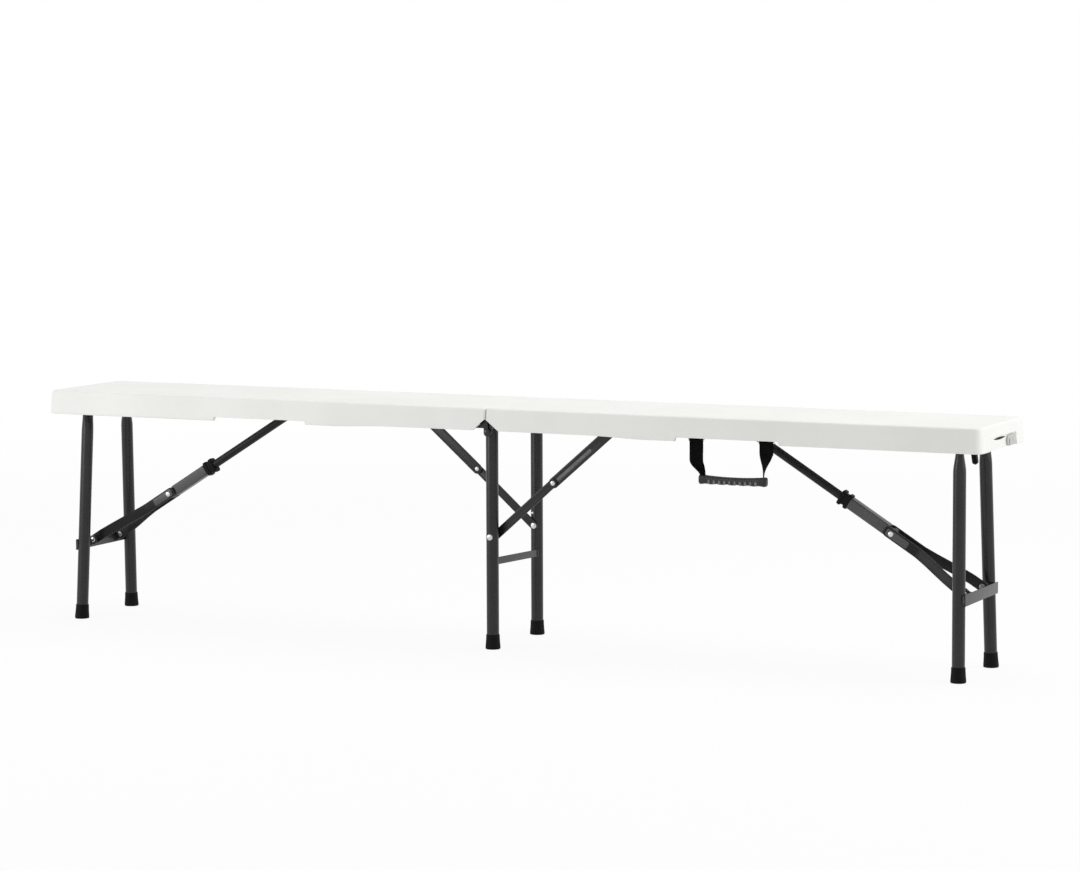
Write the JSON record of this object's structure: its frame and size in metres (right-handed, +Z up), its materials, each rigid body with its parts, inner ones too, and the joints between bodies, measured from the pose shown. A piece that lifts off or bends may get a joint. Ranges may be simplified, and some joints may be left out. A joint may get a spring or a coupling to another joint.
{
  "type": "folding bench",
  "caption": "Long folding bench with a moulded white seat in hinged halves, charcoal steel tube legs, locking knee braces, folding centre stays and a side carrying handle.",
  "frame": {"origin": "on the floor, under the middle of the open bench", "axes": "+X along the bench to the half with the handle, +Y to the rear, +Z up; the front is -Y"},
  "size_m": [1.82, 0.24, 0.43],
  "materials": {
    "shell_white": "moulded polyethylene with a faint grain",
    "frame_steel": "charcoal powder coat, satin",
    "zinc_steel": "bright zinc plate",
    "black_plastic": "black moulded plastic",
    "foot_rubber": "black rubber, fine texture",
    "black_webbing": "black woven webbing",
    "latch_grey": "pale grey moulded plastic"
  },
  "bodies": {
    "centre_frame": {"centre_leg_front": "frame_steel", "centre_leg_rear": "frame_steel", "centre_foot_cap_front": "foot_rubber", "centre_foot_cap_rear": "foot_rubber", "centre_crossbar": "frame_steel", "hinge_pin_front": "frame_steel", "hinge_pin_rear": "frame_steel", "stay_leg_rivet_front": "zinc_steel", "stay_leg_rivet_rear": "zinc_steel"},
    "right_half": {"right_seat_shell": "shell_white", "right_seat_rail_front": "frame_steel", "right_seat_rail_rear": "frame_steel", "right_leg_rod": "zinc_steel", "right_brace_rod_pin": "zinc_steel", "right_stay_bracket": "frame_steel", "handle_wire_left": "zinc_steel", "handle_wire_right": "zinc_steel", "latch_pivot_pin": "zinc_steel"},
    "left_half": {"left_seat_shell": "shell_white", "left_seat_rail_front": "frame_steel", "left_seat_rail_rear": "frame_steel", "left_leg_rod": "zinc_steel", "left_brace_rod_pin": "zinc_steel", "left_stay_bracket": "frame_steel", "latch_peg": "zinc_steel"},
    "right_outer_legs": {"right_outer_leg_front": "frame_steel", "right_outer_leg_rear": "frame_steel", "right_foot_cap_front": "foot_rubber", "right_foot_cap_rear": "foot_rubber", "right_leg_pivot_tube": "frame_steel", "right_leg_crossbar": "frame_steel"},
    "left_outer_legs": {"left_outer_leg_front": "frame_steel", "left_outer_leg_rear": "frame_steel", "left_foot_cap_front": "foot_rubber", "left_foot_cap_rear": "foot_rubber", "left_leg_pivot_tube": "frame_steel", "left_leg_crossbar": "frame_steel"},
    "right_brace_upper": {"right_brace_rod": "frame_steel"},
    "left_brace_upper": {"left_brace_rod": "frame_steel"},
    "right_brace_lower": {"right_brace_arm_front": "frame_steel", "right_brace_arm_rear": "frame_steel"},
    "left_brace_lower": {"left_brace_arm_front": "frame_steel", "left_brace_arm_rear": "frame_steel"},
    "right_lock": {"right_lock_sleeve": "frame_steel", "right_lock_collar": "black_plastic"},
    "left_lock": {"left_lock_sleeve": "frame_steel", "left_lock_collar": "black_plastic"},
    "right_stay_lower_link": {"right_stay_lower": "frame_steel", "right_stay_elbow_rivet": "zinc_steel"},
    "left_stay_lower_link": {"left_stay_lower": "frame_steel", "left_stay_elbow_rivet": "zinc_steel"},
    "right_stay_upper_link": {"right_stay_upper": "frame_steel"},
    "left_stay_upper_link": {"left_stay_upper": "frame_steel"},
    "handle": {"handle_grip": "black_plastic", "handle_strap_left": "black_webbing", "handle_strap_right": "black_webbing"},
    "latch": {"latch_hook": "latch_grey"}
  },
  "joints": [
    {"name": "right_half_fold", "type": "hinge", "parent": "centre_frame", "child": "right_half", "pos_m": [0, 0, 0.3862], "axis": [0, 1, 0], "range_deg": [0, 90]},
    {"name": "left_half_fold", "type": "hinge", "parent": "centre_frame", "child": "left_half", "pos_m": [0, 0, 0.3862], "axis": [0, -1, 0], "range_deg": [0, 90]},
    {"name": "right_legs_fold", "type": "hinge", "parent": "right_half", "child": "right_outer_legs", "pos_m": [0.855, 0, 0.404], "axis": [0, 1, 0], "range_deg": [0, 91.13]},
    {"name": "left_legs_fold", "type": "hinge", "parent": "left_half", "child": "left_outer_legs", "pos_m": [-0.855, 0, 0.404], "axis": [0, -1, 0], "range_deg": [0, 91.13]},
    {"name": "right_brace_upper_turn", "type": "hinge", "parent": "right_half", "child": "right_brace_upper", "pos_m": [0.444, 0, 0.402], "axis": [0, 1, 0], "range_deg": [-32.9, 0]},
    {"name": "left_brace_upper_turn", "type": "hinge", "parent": "left_half", "child": "left_brace_upper", "pos_m": [-0.444, 0, 0.402], "axis": [0, -1, 0], "range_deg": [-32.9, 0]},
    {"name": "right_brace_lower_turn", "type": "hinge", "parent": "right_outer_legs", "child": "right_brace_lower", "pos_m": [0.8595, 0, 0.144], "axis": [0, 1, 0], "range_deg": [0, 56.03]},
    {"name": "left_brace_lower_turn", "type": "hinge", "parent": "left_outer_legs", "child": "left_brace_lower", "pos_m": [-0.8595, 0, 0.144], "axis": [0, -1, 0], "range_deg": [0, 56.03]},
    {"name": "right_lock_slide", "type": "slide", "parent": "right_brace_upper", "child": "right_lock", "axis": [-0.8495, 0, 0.5275], "range_m": [0, 0.045]},
    {"name": "left_lock_slide", "type": "slide", "parent": "left_brace_upper", "child": "left_lock", "axis": [0.8495, 0, 0.5275], "range_m": [0, 0.045]},
    {"name": "right_stay_lower_turn", "type": "hinge", "parent": "centre_frame", "child": "right_stay_lower_link", "pos_m": [0, -0.078, 0.2], "axis": [0, 1, 0], "range_deg": [0, 123.15]},
    {"name": "left_stay_lower_turn", "type": "hinge", "parent": "centre_frame", "child": "left_stay_lower_link", "pos_m": [0, 0.078, 0.2], "axis": [0, -1, 0], "range_deg": [0, 123.15]},
    {"name": "right_stay_upper_turn", "type": "hinge", "parent": "right_half", "child": "right_stay_upper_link", "pos_m": [0.2274, -0.075, 0.398], "axis": [0, 1, 0], "range_deg": [-144.4, 0]},
    {"name": "left_stay_upper_turn", "type": "hinge", "parent": "left_half", "child": "left_stay_upper_link", "pos_m": [-0.2274, 0.075, 0.398], "axis": [0, -1, 0], "range_deg": [-144.4, 0]},
    {"name": "handle_swing", "type": "hinge", "parent": "right_half", "child": "handle", "pos_m": [0.464, -0.1085, 0.3896], "axis": [-1, 0, 0], "range_deg": [0, 90]},
    {"name": "latch_swing", "type": "hinge", "parent": "right_half", "child": "latch", "pos_m": [0.907, 0.057, 0.3975], "axis": [1, 0, 0], "range_deg": [0, 90]}
  ],
  "couplings": [
    {"joint": "right_brace_upper_turn", "follows": "right_legs_fold", "ratio": -0.36038},
    {"joint": "left_brace_upper_turn", "follows": "left_legs_fold", "ratio": -0.36038},
    {"joint": "right_brace_lower_turn", "follows": "right_legs_fold", "ratio": 0.61473},
    {"joint": "left_brace_lower_turn", "follows": "left_legs_fold", "ratio": 0.61473},
    {"joint": "right_stay_lower_turn", "follows": "right_half_fold", "ratio": 1.3683},
    {"joint": "left_stay_lower_turn", "follows": "left_half_fold", "ratio": 1.3683},
    {"joint": "right_stay_upper_turn", "follows": "right_half_fold", "ratio": -1.604},
    {"joint": "left_stay_upper_turn", "follows": "left_half_fold", "ratio": -1.604}
  ]
}
